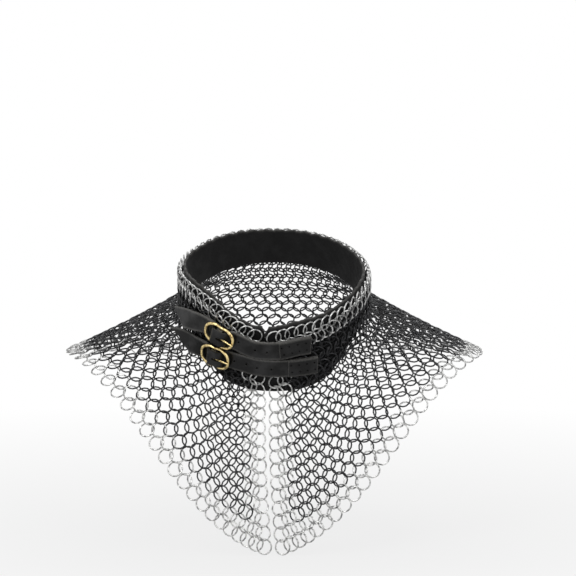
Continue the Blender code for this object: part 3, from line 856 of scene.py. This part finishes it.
def model_lacing(way):
    """The waxed thong that ties a strap's right end to the mail, seen only in its holes."""
    ends = []
    for along, across in lace_places(way):
        deselect()
        bpy.ops.mesh.primitive_cylinder_add(
            vertices=10, radius=thong_radius, depth=thong_length,
            location=(along, across, -thong_sunk),
        )
        item = bpy.context.active_object
        settle(item)
        soften(item, thong_bevel)
        ends.append(item)
    item = join_all(f"{way.name}_strap_lacing", ends)
    mark_wear(item, lambda corner: thong_wear)
    reshape(item, way.bend)
    finish_piece(item, thong_finish, "collar", "strap_leather")


def buckle_place(way):
    """Buckle frame: X along the strap, Y across it, Z out, from the middle of the bar."""
    ends = [
        band_point(way.buckle + turn, way.buckle_level(way.buckle + turn), bar_radius)
        for turn in (-small_turn, 0, small_turn)
    ]
    along = (ends[2] - ends[0]).normalized()
    across = outward(way.buckle).cross(along).normalized()
    place = Matrix((along, across, along.cross(across))).transposed().to_4x4()
    place.translation = ends[1]
    return place


def chape_side():
    """The chape seen from its edge: flat on the mail, round the bar and back on itself."""
    loop = bar_wire / 2 + tongue_room + chape_thick / 2
    flat = mail_outside + chape_room + chape_thick / 2
    pinch = -(chape_pinch + loop)
    side = []
    steps = 12
    for step in range(steps + 1):
        along = -chape_length + (chape_length + pinch) * step / steps
        side.append(Vector((along, sqrt(flat ** 2 - along ** 2) - bar_radius)))
    low = side[-1].y
    steps = 16
    for step in range(steps + 1):
        turn = roll_start + roll_turn * step / steps
        side.append(Vector((loop * cos(turn), loop * sin(turn))))
    side.append(Vector((pinch, low + chape_thick * chape_end)))
    return side


def model_chape(way):
    """A folded leather tab round the buckle's bar, with a slot for the tongue."""
    cuts = 48
    side = evenly(chape_side(), cuts)
    item = sheet(f"{way.name}_chape_leather", cuts, 6)

    def lay(corner):
        here = side[round((corner.x + 0.5) * cuts)]
        return Vector((here.x, corner.y * chape_width, here.y))

    reshape(item, lay)
    apply_modifier(item, "SOLIDIFY", thickness=chape_thick, offset=0, use_even_offset=True)
    reach = 2 * (bar_wire / 2 + tongue_room + tongue_wire + chape_slot_room)
    deselect()
    bpy.ops.mesh.primitive_cube_add(size=1)
    slot = bpy.context.active_object
    slot.scale = (reach, chape_slot_width, reach)
    settle(slot)
    cut_out(item, [slot])
    soften(item, chape_bevel)
    mark_wear(item, lambda corner: 1 - (chape_width / 2 - abs(corner.y)) / chape_worn_rim)
    place = buckle_place(way)
    reshape(item, lambda corner: place @ corner)
    finish_piece(item, strap_finish, "collar", "strap_leather", f"{way.name}_chape")


# Leather liner

liner_thick = 2 * mm
liner_above = 3 * mm
liner_short = 3 * mm
liner_notch = 3 * mm
liner_notch_width = 5 * mm
liner_slit = 0.1 * mm
liner_ripple = 0.25 * mm
liner_uneven = 0.5 * mm
liner_worn_from = 0.46
liner_bevel = 0.35 * mm
liner_slit_share = 0.9


def model_liner():
    """The leather band inside the neck mail, its top edge cut a little uneven, notched in front."""
    item = sheet("neck_liner_leather", 240, 16)
    middle = slit_lean * liner_slit_share
    mark_wear(item, lambda corner: 1.0 if corner.y > liner_worn_from else 0.0)

    def lay(corner):
        turn = 2 * pi * (corner.x + 0.5)
        angle = middle + turn if turn <= pi else middle + turn - 2 * pi
        uneven = liner_uneven * (sin(turn * 41) + 0.6 * sin(turn * 97 + 1))
        top = -liner_above - edge_rise(angle) + uneven
        bottom = band_height(angle) - liner_short
        drop = bottom + (top - bottom) * (corner.y + 0.5)
        opening = liner_slit
        if drop < liner_notch:
            opening += liner_notch_width * (liner_notch - drop) / (liner_notch - top)
        shift = opening / 2 / liner_radius * (1 - turn / pi)
        ripple = liner_ripple * sin(turn * 23 + drop * 300)
        return band_point(middle + turn + shift, drop, liner_radius - abs(ripple))

    reshape(item, lay)
    apply_modifier(item, "SOLIDIFY", thickness=liner_thick, offset=0)
    soften(item, liner_bevel)
    finish_piece(item, liner_finish, "collar", "liner_leather", "neck_liner")


# Buckles

frame_half_length = 12.75 * mm
frame_half_height = 9.2 * mm
frame_squareness = 0.7
frame_waist = 0.12
frame_waist_reach = 3.2 * mm
frame_thinning = 0.12
frame_thinning_reach = 2.2 * mm
frame_cuts = 72
bar_length = 16.8 * mm
torus_radius = 10 * mm


def frame_outline():
    """The middle line of the frame's wire, drawn in a little beside its bar."""
    outline = []
    steps = 720
    for step in range(steps + 1):
        turn = 2 * pi * step / steps
        along = frame_half_length * cos(turn)
        drawn = 1 - frame_waist * exp(-(along / frame_waist_reach) ** 2)
        across = frame_half_height * abs(sin(turn)) ** frame_squareness * drawn
        outline.append(Vector((along, across if sin(turn) >= 0 else -across)))
    return evenly(outline, frame_cuts)


def model_frame(way):
    """A double-loop frame, cast in one with the bar across its middle."""
    outline = frame_outline()
    deselect()
    bpy.ops.mesh.primitive_torus_add(
        major_segments=frame_cuts, minor_segments=12,
        major_radius=torus_radius, minor_radius=frame_wire / 2,
    )
    ring = bpy.context.active_object

    def lay(corner):
        flat = corner.to_2d()
        turn = Vector((1, 0)).angle_signed(flat)
        number = round(turn * -frame_cuts / (2 * pi)) % frame_cuts
        before, here, after = outline[(number - 1) % frame_cuts], outline[number], outline[number + 1]
        along = (after - before).normalized()
        thin = 1 - frame_thinning * exp(-(here.x / frame_thinning_reach) ** 2)
        beyond = (flat.length - torus_radius) * thin
        place = here + Vector((along.y, -along.x)) * beyond
        return Vector((place.x, place.y, corner.z * thin))

    reshape(ring, lay)
    deselect()
    bpy.ops.mesh.primitive_cylinder_add(
        vertices=16, radius=bar_wire / 2, depth=bar_length, rotation=(pi / 2, 0, 0)
    )
    bar = bpy.context.active_object
    settle(bar)
    apply_modifier(ring, "BOOLEAN", operation="UNION", solver="EXACT", object=bar)
    bpy.data.objects.remove(bar, do_unlink=True)
    ring.name = f"{way.name}_frame_brass"
    place = buckle_place(way)
    reshape(ring, lambda corner: place @ corner)
    smooth_by_angle(ring)
    finish_piece(ring, brass_finish, f"{way.name}_frame", "brass", f"{way.name}_buckle_frame")


tongue_reach = 14 * mm
tongue_cuts = 60
tongue_sides = 12
tongue_taper = 0.25
tongue_taper_cuts = 24
tongue_end_cuts = 3
tongue_tip = 0.001
eye_start = radians(-40)
eye_turn = radians(-230)
merge_distance = 0.004 * mm


def tongue_line():
    """The middle line of the tongue's wire: rolled round the bar, then down to the frame."""
    eye = bar_wire / 2 + tongue_room + tongue_wire / 2
    rest = frame_wire / 2 + tongue_room + tongue_wire / 2
    tip = tongue_reach + tongue_wire / 2
    points = []
    steps = 24
    for step in range(steps + 1):
        turn = eye_start + eye_turn * step / steps
        points.append(Vector((eye * cos(turn), 0, eye * sin(turn))))
    steps = 8
    for step in range(1, steps + 1):
        share = step / steps
        points.append(Vector((tip * share, 0, eye + (rest - eye) * eased(share * 1.2))))
    return evenly(points, tongue_cuts)


def model_tongue(way):
    """A wire tongue rolled round the bar, tapered to its tip and rounded at both ends."""
    points = tongue_line()
    item = sheet(f"{way.name}_tongue_brass", tongue_cuts, tongue_sides)

    def lay(corner):
        number = round((corner.x + 0.5) * tongue_cuts)
        before, after = points[max(number - 1, 0)], points[min(number + 1, tongue_cuts)]
        along = (after - before).normalized()
        up = Vector((0, 1, 0)).cross(along)
        turn = 2 * pi * (corner.y + 0.5)
        end = min(number, tongue_cuts - number)
        taper = 1 - tongue_taper * eased(1 - (tongue_cuts - number) / tongue_taper_cuts)
        rounded = 1 - (1 - tongue_tip) * (1 - min(end / tongue_end_cuts, 1)) ** 2
        radius = tongue_wire / 2 * rounded * taper
        return points[number] + Vector((0, cos(turn) * radius, 0)) + up * sin(turn) * radius

    reshape(item, lay)
    pick(item)
    bpy.ops.object.mode_set(mode="EDIT")
    bpy.ops.mesh.select_all(action="SELECT")
    bpy.ops.mesh.remove_doubles(threshold=merge_distance)
    bpy.ops.mesh.normals_make_consistent(inside=False)
    bpy.ops.object.mode_set(mode="OBJECT")
    bpy.ops.object.shade_smooth()
    place = buckle_place(way)
    reshape(item, lambda corner: place @ corner)
    finish_piece(item, brass_finish, f"{way.name}_tongue", "brass", f"{way.name}_buckle_tongue")


model_liner()
for way in ways:
    model_strap(way)
    model_patch(way)
    model_lacing(way)
    model_chape(way)
    model_frame(way)
    model_tongue(way)


# Camera, floor and light

sensor_width = 36
camera_lift = radians(5.5)
camera_away = 2.5
camera_lens = 190.56
camera_right = 11.07 * mm
camera_up = 43.6 * mm
floor_size = 60
floor_gap = 0.4 * mm
floor_grey = 0.22
white = (1, 1, 1, 1)

# Name, place and size in metres, and power in watts
lamps = (
    ("key", (-1.0, -1.7, 1.9), (1.0, 1.0), 34),
    ("fill", (1.6, -1.4, 0.9), (0.9, 1.4), 14),
    ("back", (0.3, 1.6, 1.4), (1.4, 0.8), 10),
)


def sees_background(tree):
    """One where a ray comes from the camera, a shiny surface or a clear one, else nought."""
    path = tree.nodes.new("ShaderNodeLightPath").outputs
    shiny = computed(tree, "MAXIMUM", path["Is Camera Ray"], path["Is Glossy Ray"])
    return computed(tree, "MAXIMUM", shiny, path["Is Transmission Ray"])


def mixed(tree, share, first, second, socket):
    """Shows the second shader by this share of the first."""
    mix = tree.nodes.new("ShaderNodeMixShader")
    tree.links.new(share, mix.inputs["Fac"])
    tree.links.new(first, mix.inputs[1])
    tree.links.new(second, mix.inputs[2])
    tree.links.new(mix.outputs["Shader"], socket)


def add_camera():
    look = Vector((0, cos(camera_lift), -sin(camera_lift)))
    up = Vector((0, sin(camera_lift), cos(camera_lift)))
    data = bpy.data.cameras.new("camera")
    data.sensor_width = sensor_width
    data.lens = camera_lens
    camera = bpy.data.objects.new("camera", data)
    camera.location = Vector((camera_right, 0, 0)) + up * camera_up - look * camera_away
    camera.rotation_euler = Euler((pi / 2 - camera_lift, 0, 0))
    bpy.context.scene.collection.objects.link(camera)
    bpy.context.scene.camera = camera


def add_floor():
    """A floor that keeps the object's shadow and fades to white away from it."""
    deselect()
    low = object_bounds()[0][2]
    bpy.ops.mesh.primitive_plane_add(size=floor_size, location=(0, 0, low - floor_gap))
    floor = bpy.context.active_object
    floor.name = "floor"
    made, tree, shader = new_material("pale_floor")
    shader.inputs["Base Color"].default_value = (floor_grey, floor_grey, floor_grey, 1)
    shader.inputs["Roughness"].default_value = 0.9
    glow = tree.nodes.new("ShaderNodeEmission")
    far = tree.nodes.new("ShaderNodeVectorMath")
    far.operation = "LENGTH"
    tree.links.new(object_place(tree), far.inputs[0])
    fade = spread(tree, far.outputs["Value"], 0.8, 1.0, first=0.1, last=0.8)
    seen = computed(tree, "MULTIPLY", sees_background(tree), fade)
    surface = tree.nodes["Material Output"].inputs["Surface"]
    mixed(tree, seen, shader.outputs["BSDF"], glow.outputs["Emission"], surface)
    floor.data.materials.append(made)


def add_lamp(name, place, size, power):
    """A rectangular lamp that faces the origin."""
    data = bpy.data.lights.new(name, "AREA")
    data.shape = "RECTANGLE"
    data.size, data.size_y = size
    data.energy = power
    lamp = bpy.data.objects.new(name, data)
    lamp.location = place
    lamp.rotation_euler = (-Vector(place)).to_track_quat("-Z", "Y").to_euler()
    bpy.context.scene.collection.objects.link(lamp)


def add_world():
    """A white background, and soft light that comes mostly from above."""
    world = bpy.context.scene.world or bpy.data.worlds.new("studio")
    bpy.context.scene.world = world
    world.use_nodes = True
    tree = world.node_tree
    tree.nodes.clear()
    out = tree.nodes.new("ShaderNodeOutputWorld")
    room = tree.nodes.new("ShaderNodeBackground")
    room.inputs["Color"].default_value = white
    where = tree.nodes.new("ShaderNodeTexCoord")
    parts = tree.nodes.new("ShaderNodeSeparateXYZ")
    tree.links.new(where.outputs["Generated"], parts.inputs["Vector"])
    strength = spread(tree, parts.outputs["Z"], 0.08, 0.9, first=0.05, last=0.6)
    tree.links.new(strength, room.inputs["Strength"])
    seen = tree.nodes.new("ShaderNodeBackground")
    seen.inputs["Color"].default_value = white
    seen.inputs["Strength"].default_value = 1.0
    backgrounds = room.outputs["Background"], seen.outputs["Background"]
    mixed(tree, sees_background(tree), *backgrounds, out.inputs["Surface"])


add_camera()
add_floor()
add_world()
for lamp_values in lamps:
    add_lamp(*lamp_values)
bpy.context.scene.view_settings.view_transform = "Standard"
